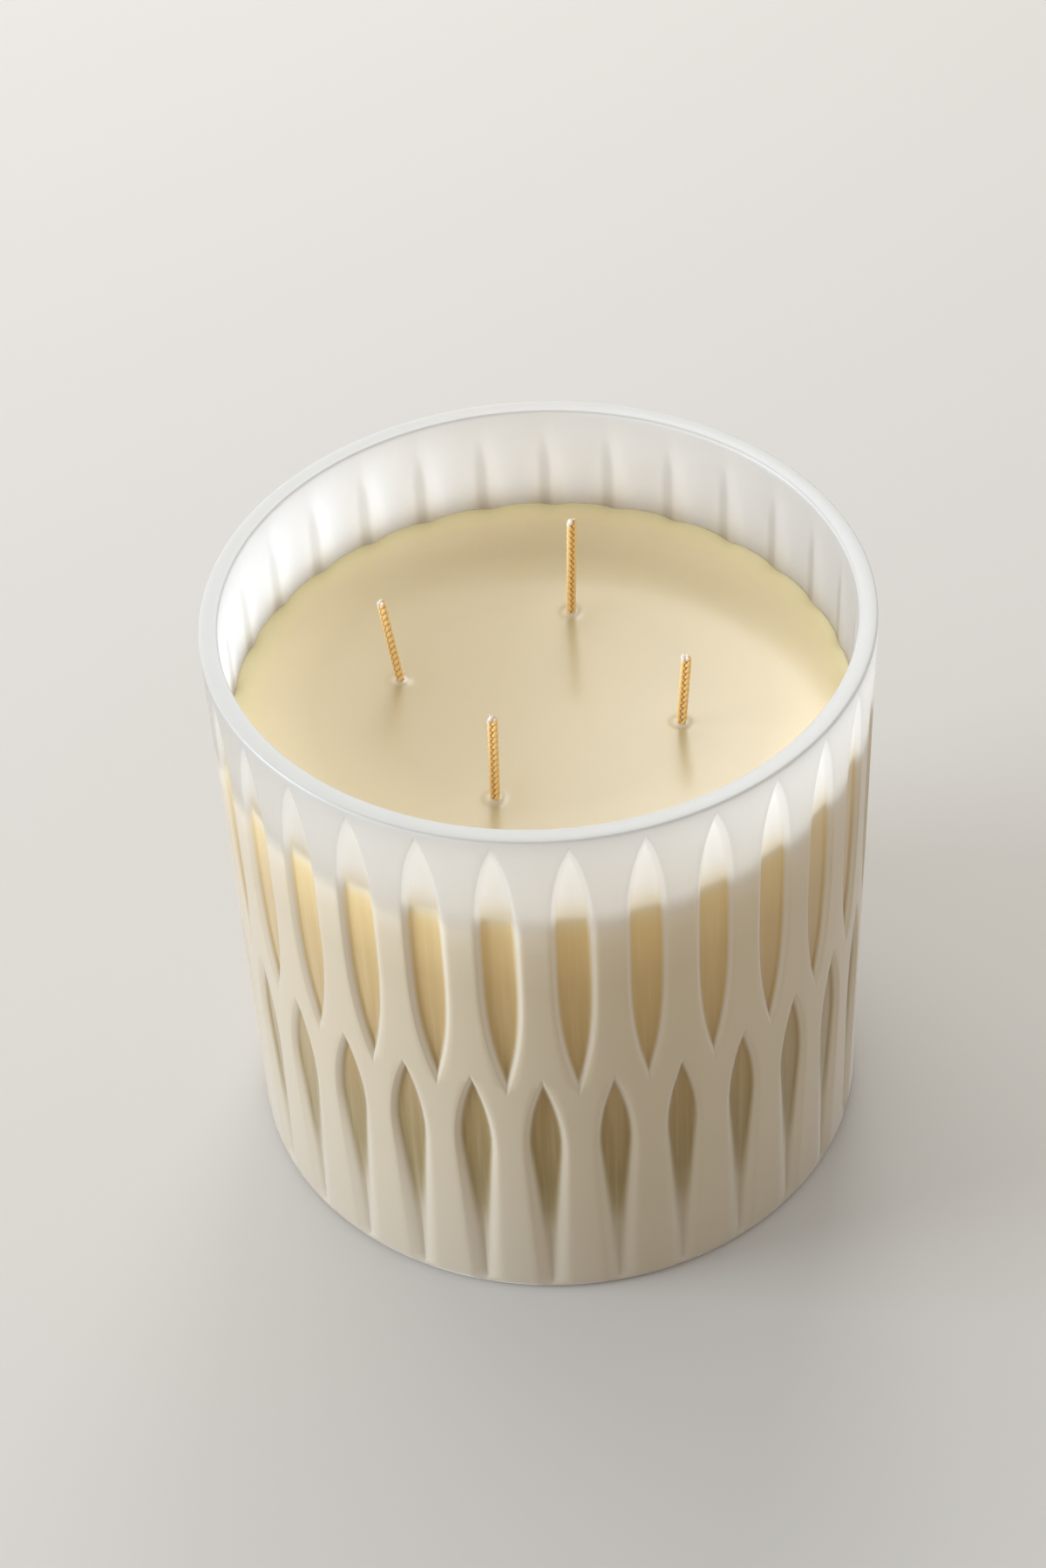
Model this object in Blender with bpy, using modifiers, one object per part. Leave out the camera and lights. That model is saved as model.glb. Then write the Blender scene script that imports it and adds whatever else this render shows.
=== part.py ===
"""Four-wick container candle: a frosted glass tumbler with two staggered rows of lens-shaped recesses,
filled with cream wax. Metres, +Z up, origin at the centre of the foot, on the surface it stands on."""
import math

import bmesh
import bpy

MM = 0.001

# Clearance between two pieces that touch on the real candle
GAP = 0.3 * MM

# Glass vessel
HEIGHT = 148.5 * MM
RIM_RADIUS = 75.0 * MM
FOOT_RADIUS = 73.5 * MM
WALL = 4.2 * MM
BASE_THICKNESS = 8.0 * MM
RIM_EDGE_RADIUS = 0.5 * MM
HEEL_RADIUS = 2.2 * MM
INNER_CORNER_RADIUS = 15.0 * MM
FOOT_RING_WIDTH = 7.0 * MM
PUSH_UP = 2.0 * MM
PUSH_UP_SLOPE = 5.0 * MM

# Recesses: heights are measured down from the rim, widths along the wall
RECESS_COUNT = 29
RECESS_DEPTH = 1.5 * MM
BEVEL_WIDTH = 2.0 * MM
LAND_WIDTH = 6.1 * MM
UPPER_TIP = 1.7 * MM
UPPER_WIDEST = 40.0 * MM
UPPER_END = 79.6 * MM
ROW_OVERLAP = 5.6 * MM
LOWER_ARCH = 26.0 * MM
FLOOR_NARROWS = 21.0 * MM
FLOOR_LENGTH = 30.0 * MM
FOOT_GROOVE_WIDTH = 7.6 * MM
UPPER_TOP_FULLNESS = 4.0
UPPER_END_FULLNESS = 2.8
LOWER_FULLNESS = 2.3
PATTERN_TURN = math.radians(-99.3)

# Wax
WAX_BELOW_RIM = 27.5 * MM
MENISCUS_WIDTH = 2.4 * MM
MENISCUS_RISE = 1.0 * MM

# Wicks: where each leaves the wax, how tall it stands and how far its tip leans
WICK_RADIUS = 1.2 * MM
WICKS = {
    "front": {"at": (-11.3 * MM, -32.2 * MM), "tall": 23.7 * MM, "lean": (0.5 * MM, 0.0)},
    "right": {"at": (31.0 * MM, -10.5 * MM), "tall": 19.6 * MM, "lean": (1.3 * MM, 0.0)},
    "back": {"at": (7.8 * MM, 29.5 * MM), "tall": 27.2 * MM, "lean": (1.0 * MM, 0.0)},
    "left": {"at": (-32.1 * MM, 8.6 * MM), "tall": 23.6 * MM, "lean": (-2.8 * MM, 0.0)},
}

# Metal sustainers and the adhesive pads that hold them to the glass
SUSTAINER_RADIUS = 10.0 * MM
SUSTAINER_SHEET = 0.4 * MM
NECK_HEIGHT = 6.0 * MM
PAD_RADIUS = 8.5 * MM
PAD_THICKNESS = 1.0 * MM

# Cutters run this far past what they cut, and their floors stay at least this wide towards a tip
CUTTER_CLEARANCE = 1.0 * MM
LEAST_FLOOR = 0.05 * MM

# Facets
STEPS_PER_RECESS = 4
RECESS_ROWS = 11
CORNER_SEGMENTS = 4
MENISCUS_SEGMENTS = 3
WAX_STEPS = 2 * RECESS_COUNT
SMALL_STEPS = 20
SHARP_ANGLE = math.radians(32)

# Sizes worked out from those above
LATHE_STEPS = STEPS_PER_RECESS * RECESS_COUNT
CUTTER_REACH = max(RIM_RADIUS, FOOT_RADIUS) + 3 * CUTTER_CLEARANCE
WAX_TOP = HEIGHT - WAX_BELOW_RIM
WAX_BOTTOM = BASE_THICKNESS + GAP
PAD_BOTTOM = BASE_THICKNESS + GAP
SHEET_BOTTOM = PAD_BOTTOM + PAD_THICKNESS + GAP
SHEET_TOP = SHEET_BOTTOM + SUSTAINER_SHEET
NECK_TOP = SHEET_TOP + NECK_HEIGHT
NECK_BORE = WICK_RADIUS + GAP
NECK_RADIUS = NECK_BORE + SUSTAINER_SHEET
RECESS_HALF_WIDTH = (2 * math.pi * RIM_RADIUS / RECESS_COUNT - LAND_WIDTH) / 2
LOWER_TIP = UPPER_END - ROW_OVERLAP
LOWER_WIDEST = LOWER_TIP + LOWER_ARCH
FLOOR_START = LOWER_TIP + FLOOR_NARROWS
FLOOR_END = FLOOR_START + FLOOR_LENGTH


def clear_scene():
    for obj in list(bpy.data.objects):
        bpy.data.objects.remove(obj)
    for collection in list(bpy.data.collections):
        bpy.data.collections.remove(collection)


def new_collection(name):
    collection = bpy.data.collections.new(name)
    bpy.context.scene.collection.children.link(collection)
    return collection


def new_material(name, colour, roughness, metallic=0.0):
    material = bpy.data.materials.new(name)
    material.use_nodes = True
    shader = material.node_tree.nodes["Principled BSDF"]
    shader.inputs["Base Color"].default_value = (*colour, 1.0)
    shader.inputs["Roughness"].default_value = roughness
    shader.inputs["Metallic"].default_value = metallic
    return material


def new_object(name, mesh, collection, material=None):
    obj = bpy.data.objects.new(name, mesh)
    collection.objects.link(obj)
    if material:
        mesh.materials.append(material)
    return obj


def arc(centre_r, centre_z, radius, start_deg, end_deg, segments):
    """Points of an arc in the profile plane, as (radius, height)."""
    points = []
    for i in range(segments + 1):
        angle = math.radians(start_deg + (end_deg - start_deg) * i / segments)
        points.append((centre_r + radius * math.cos(angle), centre_z + radius * math.sin(angle)))
    return points


def turned(name, profile, steps, collection, material=None, closed=False):
    """A solid turned about +Z from a profile of (radius, height) points that runs down its outer side."""
    mesh = bpy.data.meshes.new(name)
    count = len(profile)
    edges = [(i, (i + 1) % count) for i in range(count if closed else count - 1)]
    mesh.from_pydata([(r, 0.0, z) for r, z in profile], edges, [])
    obj = new_object(name, mesh, collection, material)
    screw = obj.modifiers.new("Turn", "SCREW")
    screw.axis = "Z"
    screw.steps = steps
    screw.render_steps = steps
    screw.use_merge_vertices = True
    screw.merge_threshold = 0.00001
    return obj


def cut(obj, cutter):
    boolean = obj.modifiers.new(cutter.name, "BOOLEAN")
    boolean.operation = "DIFFERENCE"
    boolean.solver = "EXACT"
    boolean.object = cutter
    cutter.hide_render = True
    cutter.display_type = "WIRE"


def settle(obj):
    """Keeps the shape that the modifiers give, shaded smooth with its real edges sharp."""
    evaluated = obj.evaluated_get(bpy.context.evaluated_depsgraph_get())
    mesh = bpy.data.meshes.new_from_object(evaluated)
    obj.modifiers.clear()
    obj.data = mesh
    mesh.name = obj.name
    mesh.shade_smooth()
    mesh.set_sharp_from_angle(angle=SHARP_ANGLE)


def outer_radius(height):
    return FOOT_RADIUS + (RIM_RADIUS - FOOT_RADIUS) * height / HEIGHT


def inner_radius(height):
    return outer_radius(height) - WALL


def inner_corner(inset):
    """The round corner between the wall and the floor inside the vessel, drawn in by inset, floor first."""
    corner_height = BASE_THICKNESS + INNER_CORNER_RADIUS
    centre = inner_radius(corner_height) - INNER_CORNER_RADIUS
    return arc(centre, corner_height, INNER_CORNER_RADIUS - inset, -90, 0, CORNER_SEGMENTS)


def vessel_profile():
    rim_low = HEIGHT - RIM_EDGE_RADIUS
    heel_centre = outer_radius(HEEL_RADIUS) - HEEL_RADIUS
    ring_inner = heel_centre - FOOT_RING_WIDTH
    profile = [(0.0, BASE_THICKNESS)]
    profile += inner_corner(0.0)
    profile += arc(inner_radius(rim_low) + RIM_EDGE_RADIUS, rim_low, RIM_EDGE_RADIUS, 180, 90, 2)
    profile += arc(outer_radius(rim_low) - RIM_EDGE_RADIUS, rim_low, RIM_EDGE_RADIUS, 90, 0, 2)
    profile += arc(heel_centre, HEEL_RADIUS, HEEL_RADIUS, 0, -90, 3)
    profile.append((ring_inner, 0.0))
    profile.append((ring_inner - PUSH_UP_SLOPE, PUSH_UP))
    profile.append((0.0, PUSH_UP))
    return profile


def bulged(distance, reach, fullness):
    """1 at the widest point, 0 at the tip and negative past it."""
    return 1 - (max(distance, 0.0) / reach) ** fullness


def upper_section(below_rim):
    """Half width and bevel width of an upper recess: pointed at both ends, widest in the middle."""
    if below_rim < UPPER_WIDEST:
        share = bulged(UPPER_WIDEST - below_rim, UPPER_WIDEST - UPPER_TIP, UPPER_TOP_FULLNESS)
    else:
        share = bulged(below_rim - UPPER_WIDEST, UPPER_END - UPPER_WIDEST, UPPER_END_FULLNESS)
    return RECESS_HALF_WIDTH * share, BEVEL_WIDTH


def lower_section(below_rim):
    """Half width and bevel width of a lower recess: a pointed arch whose floor narrows to a groove at the foot."""
    if below_rim < LOWER_WIDEST:
        half = RECESS_HALF_WIDTH * bulged(LOWER_WIDEST - below_rim, LOWER_ARCH, LOWER_FULLNESS)
    else:
        half = taper(below_rim)
    closing = max(below_rim - FLOOR_START, 0.0) / FLOOR_LENGTH
    return half, BEVEL_WIDTH + (taper(FLOOR_END) - BEVEL_WIDTH) * closing


def taper(below_rim):
    """Half width of a lower recess between its widest point and the foot."""
    along = (below_rim - LOWER_WIDEST) / (HEIGHT - LOWER_WIDEST)
    return RECESS_HALF_WIDTH + (FOOT_GROOVE_WIDTH / 2 - RECESS_HALF_WIDTH) * along


def spaced(start, end):
    """Depths below the rim from start to end, closer together towards both ends."""
    middle = (start + end) / 2
    reach = (end - start) / 2
    return [middle - reach * math.cos(math.pi * i / RECESS_ROWS) for i in range(RECESS_ROWS + 1)]


def recess_row(name, depths, section, turn, collection):
    """One row of recess cutters: a lofted tray with sloping sides, copied round the axis."""
    bm = bmesh.new()
    bmesh.ops.create_grid(bm, x_segments=3, y_segments=RECESS_ROWS, size=1)
    for vert in bm.verts:
        column = round((vert.co.x + 1) * 1.5)
        below_rim = depths[round((vert.co.y + 1) * RECESS_ROWS / 2)]
        half, bevel = section(below_rim)
        height = HEIGHT - below_rim
        radius = outer_radius(height)
        if column in (0, 3):
            across = half + CUTTER_CLEARANCE * bevel / RECESS_DEPTH
            out = radius + CUTTER_CLEARANCE
        else:
            across = max(half - bevel, LEAST_FLOOR)
            out = radius - RECESS_DEPTH * min(1.0, half / bevel)
        angle = turn + (across if column > 1 else -across) / radius
        vert.co = (out * math.cos(angle), out * math.sin(angle), height)
    lid = bmesh.ops.extrude_face_region(bm, geom=bm.faces[:])
    for vert in [item for item in lid["geom"] if isinstance(item, bmesh.types.BMVert)]:
        lift = CUTTER_REACH / math.hypot(vert.co.x, vert.co.y)
        vert.co.x *= lift
        vert.co.y *= lift
    copies = RECESS_COUNT - 1
    bmesh.ops.spin(bm, geom=bm.verts[:] + bm.edges[:] + bm.faces[:], cent=(0, 0, 0), axis=(0, 0, 1),
                   angle=2 * math.pi * copies / RECESS_COUNT, steps=copies, use_duplicate=True)
    bmesh.ops.recalc_face_normals(bm, faces=bm.faces[:])
    mesh = bpy.data.meshes.new(name)
    bm.to_mesh(mesh)
    bm.free()
    return new_object(name, mesh, collection)


def make_vessel(parts, cutters):
    glass = new_material("frosted_glass", (0.84, 0.83, 0.79), 0.38)
    vessel = turned("glass_vessel", vessel_profile(), LATHE_STEPS, parts, glass)
    upper = spaced(UPPER_TIP - CUTTER_CLEARANCE, UPPER_END + CUTTER_CLEARANCE)
    lower = spaced(LOWER_TIP - CUTTER_CLEARANCE, HEIGHT + 2 * CUTTER_CLEARANCE)
    half_pitch = math.pi / RECESS_COUNT
    cut(vessel, recess_row("upper_recesses", upper, upper_section, 0.0, cutters))
    cut(vessel, recess_row("lower_recesses", lower, lower_section, half_pitch, cutters))
    settle(vessel)
    vessel.rotation_euler.z = PATTERN_TURN
    return vessel


def wax_profile():
    edge_height = WAX_TOP + MENISCUS_RISE
    edge = inner_radius(edge_height) - GAP
    profile = [(0.0, WAX_TOP)]
    for i in range(MENISCUS_SEGMENTS + 1):
        along = i / MENISCUS_SEGMENTS
        profile.append((edge - MENISCUS_WIDTH * (1 - along), WAX_TOP + MENISCUS_RISE * along ** 2))
    profile += reversed(inner_corner(GAP))
    profile.append((0.0, WAX_BOTTOM))
    return profile


def socket_profile():
    """The hollow in the wax round a sustainer and its pad, from below the wax to the top of the neck."""
    low = WAX_BOTTOM - CUTTER_CLEARANCE
    wide = SUSTAINER_RADIUS + GAP
    narrow = NECK_RADIUS + GAP
    return [(0.0, NECK_TOP + GAP), (narrow, NECK_TOP + GAP), (narrow, SHEET_TOP + GAP),
            (wide, SHEET_TOP + GAP), (wide, low), (0.0, low)]


def wick_route(wick, low, share=1.0):
    """Points up the middle of a wick: upright in the wax, then leaning for a share of its free height."""
    x, y = wick["at"]
    lean_x, lean_y = wick["lean"]
    return [(x, y, low), (x, y, WAX_TOP),
            (x + lean_x * share, y + lean_y * share, WAX_TOP + wick["tall"] * share)]


def cord(name, route, radius, collection, material=None):
    """A round cord along a route, made a mesh with its caps welded."""
    curve = bpy.data.curves.new(name, "CURVE")
    curve.dimensions = "3D"
    curve.bevel_depth = radius
    curve.bevel_resolution = 4
    curve.use_fill_caps = True
    spline = curve.splines.new("POLY")
    spline.points.add(len(route) - 1)
    for point, place in zip(spline.points, route):
        point.co = (*place, 1.0)
    drawn = bpy.data.objects.new(name + "_path", curve)
    collection.objects.link(drawn)
    evaluated = drawn.evaluated_get(bpy.context.evaluated_depsgraph_get())
    mesh = bpy.data.meshes.new_from_object(evaluated)
    mesh.name = name
    bm = bmesh.new()
    bm.from_mesh(mesh)
    bmesh.ops.remove_doubles(bm, verts=bm.verts[:], dist=0.00001)
    bm.to_mesh(mesh)
    bm.free()
    mesh.materials.clear()
    obj = new_object(name, mesh, collection, material)
    obj.matrix_world = drawn.matrix_world
    bpy.data.objects.remove(drawn)
    return obj


def make_wax(parts, cutters):
    cream = new_material("cream_wax", (0.87, 0.78, 0.58), 0.42)
    wax = turned("wax_fill", wax_profile(), WAX_STEPS, parts, cream)
    wax.rotation_euler.z = PATTERN_TURN
    for side, wick in WICKS.items():
        socket = turned("socket_" + side, socket_profile(), SMALL_STEPS, cutters)
        socket.location = (*wick["at"], 0.0)
        cut(wax, socket)
        route = wick_route(wick, NECK_TOP, share=0.5)
        cut(wax, cord("bore_" + side, route, WICK_RADIUS + GAP, cutters))
    bpy.context.view_layer.update()
    settle(wax)
    return wax


def make_wick(side, wick, parts, cotton):
    obj = cord("wick_" + side, wick_route(wick, SHEET_BOTTOM), WICK_RADIUS, parts, cotton)
    settle(obj)
    return obj


def make_sustainer(side, wick, parts, metal):
    """A tin disc with a neck that grips the wick."""
    profile = [(NECK_BORE, NECK_TOP), (NECK_RADIUS, NECK_TOP), (NECK_RADIUS, SHEET_TOP),
               (SUSTAINER_RADIUS, SHEET_TOP), (SUSTAINER_RADIUS, SHEET_BOTTOM), (NECK_BORE, SHEET_BOTTOM)]
    obj = turned("wick_sustainer_" + side, profile, SMALL_STEPS, parts, metal, closed=True)
    obj.location = (*wick["at"], 0.0)
    settle(obj)
    return obj


def make_pad(side, wick, parts, adhesive):
    """A round adhesive pad between the sustainer and the floor of the glass."""
    bm = bmesh.new()
    bmesh.ops.create_cone(bm, cap_ends=True, segments=SMALL_STEPS, radius1=PAD_RADIUS, radius2=PAD_RADIUS,
                          depth=PAD_THICKNESS)
    mesh = bpy.data.meshes.new("adhesive_pad_" + side)
    bm.to_mesh(mesh)
    bm.free()
    obj = new_object("adhesive_pad_" + side, mesh, parts, adhesive)
    obj.location = (*wick["at"], PAD_BOTTOM + PAD_THICKNESS / 2)
    settle(obj)
    return obj


def main():
    clear_scene()
    parts = new_collection("four_wick_candle")
    cutters = new_collection("cutters")
    cotton = new_material("waxed_cotton", (0.80, 0.52, 0.25), 0.75)
    metal = new_material("tinned_steel", (0.72, 0.72, 0.72), 0.35, metallic=1.0)
    adhesive = new_material("white_adhesive", (0.88, 0.88, 0.86), 0.6)
    make_vessel(parts, cutters)
    make_wax(parts, cutters)
    for side, wick in WICKS.items():
        make_wick(side, wick, parts, cotton)
        make_sustainer(side, wick, parts, metal)
        make_pad(side, wick, parts, adhesive)
    for cutter in list(cutters.objects):
        bpy.data.objects.remove(cutter)
    bpy.data.collections.remove(cutters)


main()
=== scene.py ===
# %% [markdown]
# # A four-wick candle in a frosted glass tumbler
# The object is a wide pressed-glass tumbler with two staggered rows of lens-shaped recesses, filled with
# cream wax that four braided wicks stand in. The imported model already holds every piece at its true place
# and size. This lesson dresses that model: it loads it first, notes how large it is, and then replaces the
# faceted pieces with finer ones that have the detail of the real glass, wax and cotton.

# %% Load the model
import math
import random

import bmesh
import bpy
from mathutils import Matrix, Vector


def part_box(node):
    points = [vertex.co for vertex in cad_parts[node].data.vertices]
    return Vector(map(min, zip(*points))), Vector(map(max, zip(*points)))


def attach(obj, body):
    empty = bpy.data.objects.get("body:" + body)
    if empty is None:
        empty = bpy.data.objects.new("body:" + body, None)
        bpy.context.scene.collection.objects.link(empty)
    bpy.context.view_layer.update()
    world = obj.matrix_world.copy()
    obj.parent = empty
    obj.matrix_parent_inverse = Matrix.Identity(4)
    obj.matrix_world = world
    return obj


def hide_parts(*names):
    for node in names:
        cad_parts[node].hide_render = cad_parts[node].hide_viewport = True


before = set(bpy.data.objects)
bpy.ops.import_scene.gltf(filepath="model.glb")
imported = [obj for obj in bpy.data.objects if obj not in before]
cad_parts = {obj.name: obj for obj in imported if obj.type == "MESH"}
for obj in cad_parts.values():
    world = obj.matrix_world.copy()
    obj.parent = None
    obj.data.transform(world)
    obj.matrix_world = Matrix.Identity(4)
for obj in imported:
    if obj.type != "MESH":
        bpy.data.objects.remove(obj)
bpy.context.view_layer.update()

MM = 0.001
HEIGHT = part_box("glass_vessel")[1].z
print("nodes:", len(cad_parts), "height:", round(HEIGHT / MM, 2), "mm")

# %% [markdown]
# ## The camera
# The picture was taken from in front and above, from about 73 cm, with a slight roll. A camera is only a
# place, three directions and a focal length. The three angles were measured on the rim and the foot, so the
# matrix is put together from them: a pitch down, then a small yaw, then a small roll.

# %% Place the camera
CAMERA_PLACE = Vector((0.0, -559.93 * MM, HEIGHT + 474.43 * MM))
PITCH_DOWN = math.radians(43.341)
YAW = math.radians(0.396)
ROLL = math.radians(-2.790)
SENSOR_WIDTH = 36.0
FOCAL_LENGTH = 76.175


def look_matrix(pitch, yaw, roll):
    """A camera's rotation. The rows of the product are its right, down and ahead directions."""
    sine, cosine = math.sin(pitch), math.cos(pitch)
    level = Matrix(((1, 0, 0), (0, -sine, -cosine), (0, cosine, -sine)))
    right, down, ahead = Matrix.Rotation(roll, 3, "Z") @ Matrix.Rotation(yaw, 3, "Y") @ level
    return Matrix((right, -down, -ahead)).transposed()


camera_data = bpy.data.cameras.new("camera")
camera_data.sensor_width = SENSOR_WIDTH
camera_data.lens = FOCAL_LENGTH
camera = bpy.data.objects.new("camera", camera_data)
camera.matrix_world = Matrix.Translation(CAMERA_PLACE) @ look_matrix(PITCH_DOWN, YAW, ROLL).to_4x4()
bpy.context.scene.collection.objects.link(camera)
bpy.context.scene.camera = camera
print("camera at", [round(v, 4) for v in camera.location], "lens", FOCAL_LENGTH)

# %% [markdown]
# ## Sums on shader sockets
# A procedural finish is a small calculation at every point of a surface. Written as nodes it soon becomes
# hard to read, so one class wraps an output socket and lets it be added and multiplied like a number, and
# another makes any node from its type, its settings and the values of its sockets. Sockets go by their name
# where it is the only one of its kind, and else by their number.


# %% A socket that can be used in sums
class Value:
    def __init__(self, finish, socket):
        self.finish = finish
        self.socket = socket

    def calculate(self, operation, first, second):
        """One Math node. Its two inputs are numbers or values."""
        return self.finish.node("Math", {"operation": operation}, {0: first, 1: second})

    def __add__(self, other):
        return self.calculate("ADD", self, other)

    def __mul__(self, other):
        return self.calculate("MULTIPLY", self, other)

    def __sub__(self, other):
        return self.calculate("SUBTRACT", self, other)

    def __rsub__(self, other):
        return self.calculate("SUBTRACT", other, self)

    __radd__ = __add__
    __rmul__ = __mul__


print("sums a value knows:", [name for name in ("add", "mul", "sub") if hasattr(Value, f"__{name}__")])


# %% A finish and its nodes
MIX_FIRST, MIX_SECOND, MIX_RESULT = 6, 7, 2


class Finish:
    """A material, and short ways to make its nodes."""


    def __init__(self, name):
        self.material = bpy.data.materials.new(name)
        self.material.use_nodes = True
        self.tree = self.material.node_tree
        self.tree.nodes.clear()

    def node(self, kind, settings, sockets, output=0):
        """One node: its settings first, then a value or a link for each named or numbered socket."""
        node = self.tree.nodes.new("ShaderNode" + kind)
        for key, setting in settings.items():
            if key == "stops":
                self.set_stops(node.color_ramp, setting)
            else:
                setattr(node, key, setting)
        for key, value in sockets.items():
            if isinstance(value, Value):
                self.tree.links.new(value.socket, node.inputs[key])
            else:
                node.inputs[key].default_value = value
        return Value(self, node.outputs[output])

    def set_stops(self, ramp, stops):
        ramp.elements.remove(ramp.elements[-1])
        for position, colour in stops[1:]:
            ramp.elements.new(position).color = (*colour, 1.0)
        ramp.elements[0].position = stops[0][0]
        ramp.elements[0].color = (*stops[0][1], 1.0)

    def mix(self, factor, first, second):
        """Two colours mixed. The Mix node keeps its colours in sockets of their own."""
        sockets = {0: factor, MIX_FIRST: as_colour(first), MIX_SECOND: as_colour(second)}
        return self.node("Mix", {"data_type": "RGBA"}, sockets, MIX_RESULT)

    def blend(self, factor, first, second):
        """Two shaders mixed."""
        return self.node("MixShader", {}, {0: factor, 1: first, 2: second})

    def rise(self, value, low, high):
        """0 below low, 1 above high, and a soft step between."""
        sockets = {"Value": value, "From Min": low, "From Max": high}
        return self.node("MapRange", {"interpolation_type": "SMOOTHSTEP"}, sockets)

    def noise(self, vector, scale, detail=2.0):
        return self.node("TexNoise", {}, {"Vector": vector, "Scale": scale, "Detail": detail})

    def object_place(self):
        return self.node("TexCoord", {}, {}, "Object")

    def marks(self):
        """The three marks that were set on the mesh while it was shaped."""
        return self.split(self.node("Attribute", {"attribute_name": "marks"}, {}, "Vector"))

    def stretched(self, vector, scale):
        """Coordinates scaled apart along the axes, so that a pattern on them is drawn out."""
        return self.node("Mapping", {}, {"Vector": vector, "Scale": scale})

    def split(self, vector):
        """The three parts of a vector."""
        node = self.tree.nodes.new("ShaderNodeSeparateXYZ")
        self.tree.links.new(vector.socket, node.inputs[0])
        return [Value(self, output) for output in node.outputs]

    def bump(self, height, strength, distance):
        return self.node("Bump", {}, {"Height": height, "Strength": strength, "Distance": distance})

    def surface(self, shader):
        output = self.tree.nodes.new("ShaderNodeOutputMaterial")
        self.tree.links.new(shader.socket, output.inputs["Surface"])
        return self.material


def as_colour(value):
    return value if isinstance(value, Value) else (*value, 1.0)


print("shader helpers ready")

# %% [markdown]
# ## The stage
# The candle stands on a plain pale floor in a soft studio. A large light stands behind it like a window and
# makes the frosted glass glow. A cooler one, low on the left, whitens that side, and a small one high behind
# gleams on the front right of the wax. The rest is even light from all round. The floor looks paler to the
# camera than to the light that bounces from it, because a white floor would light the foot of the glass far
# more than a table top does.

# %% Light and floor
FLOOR_SIZE = 30.0
FLOOR_SEEN = (0.60, 0.575, 0.54)
FLOOR_BOUNCE = (0.42, 0.34, 0.25)
WORLD_COLOUR = (0.93, 0.92, 0.90)
WORLD_STRENGTH = 0.74
FLOOR_ROUGHNESS = 0.9
TARGET = Vector((0, 0, 0.08))
# Each light's name, azimuth and elevation in degrees, distance and size in metres, power in watts and colour.
LIGHTS = (
    ("window", 108, 34, 1.3, 1.4, 7.8, (1.0, 0.99, 0.97)),
    ("side_window", 186, 12, 2.6, 1.2, 68, (0.76, 0.87, 1.0)),
    ("high_window", 80, 48.5, 1.3, 0.34, 2.3, (0.94, 0.97, 1.0)),
)


def make_floor():
    bm = bmesh.new()
    bmesh.ops.create_grid(bm, x_segments=1, y_segments=1, size=FLOOR_SIZE / 2)
    mesh = bpy.data.meshes.new("floor")
    bm.to_mesh(mesh)
    bm.free()
    floor = bpy.data.objects.new("floor", mesh)
    bpy.context.scene.collection.objects.link(floor)
    finish = Finish("floor")
    seen = finish.node("LightPath", {}, {}, "Is Camera Ray")
    colour = finish.mix(seen, FLOOR_BOUNCE, FLOOR_SEEN)
    shader = finish.node("BsdfPrincipled", {}, {"Base Color": colour, "Roughness": FLOOR_ROUGHNESS})
    mesh.materials.append(finish.surface(shader))


def soft_light(name, azimuth, elevation, distance, size, power, colour):
    """A square light that looks at the candle from an azimuth (0 is +X, 90 is the back) and an elevation."""
    data = bpy.data.lights.new(name, "AREA")
    data.size = size
    data.energy = power
    data.color = colour
    light = bpy.data.objects.new(name, data)
    turn, lift = math.radians(azimuth), math.radians(elevation)
    towards = Vector((math.cos(lift) * math.cos(turn), math.cos(lift) * math.sin(turn), math.sin(lift)))
    light.location = TARGET + towards * distance
    light.rotation_euler = (-towards).to_track_quat("-Z", "Y").to_euler()
    bpy.context.scene.collection.objects.link(light)


make_floor()
world = bpy.data.worlds.new("studio")
bpy.context.scene.world = world
world.use_nodes = True
background = world.node_tree.nodes["Background"]
background.inputs["Color"].default_value = (*WORLD_COLOUR, 1.0)
background.inputs["Strength"].default_value = WORLD_STRENGTH
for light in LIGHTS:
    soft_light(*light)
bpy.context.scene.view_settings.view_transform = "Standard"
print("lights:", len(bpy.data.lights))

# %% [markdown]
# ## The vessel's sizes
# The recesses are drawn by two short rules: how wide the recess is at a height, and how wide its bevel is.
# The upper ones are pointed at both ends. The lower ones are pointed arches, set between the upper ones,
# whose floor narrows into a groove that runs out at the foot. All depths below are counted down from the rim.

# %% Sizes of the glass
RIM_RADIUS = 75.0 * MM
FOOT_RADIUS = 73.5 * MM
WALL = 4.2 * MM
BASE_THICKNESS = 8.0 * MM
RIM_EDGE_RADIUS = 0.5 * MM
HEEL_RADIUS = 2.2 * MM
INNER_CORNER_RADIUS = 15.0 * MM
FOOT_RING_WIDTH = 7.0 * MM
PUSH_UP = 2.0 * MM
PUSH_UP_SLOPE = 5.0 * MM
RECESS_COUNT = 29
RECESS_DEPTH = 1.5 * MM
BEVEL_WIDTH = 2.0 * MM
LAND_WIDTH = 6.1 * MM
UPPER_TIP, UPPER_WIDEST, UPPER_END = 1.7 * MM, 40.0 * MM, 79.6 * MM
LOWER_TIP, LOWER_WIDEST = 74.0 * MM, 100.0 * MM
UPPER_TIP_POWER, UPPER_END_POWER, LOWER_TIP_POWER = 4.0, 2.8, 2.3
FLOOR_START, FLOOR_END = 95.0 * MM, 125.0 * MM
FOOT_GROOVE_WIDTH = 7.6 * MM
PATTERN_TURN = math.radians(-99.3)
HALF_PITCH = math.pi / RECESS_COUNT
RECESS_HALF_WIDTH = (2 * math.pi * RIM_RADIUS / RECESS_COUNT - LAND_WIDTH) / 2


def outer_radius(height):
    return FOOT_RADIUS + (RIM_RADIUS - FOOT_RADIUS) * height / HEIGHT


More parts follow.
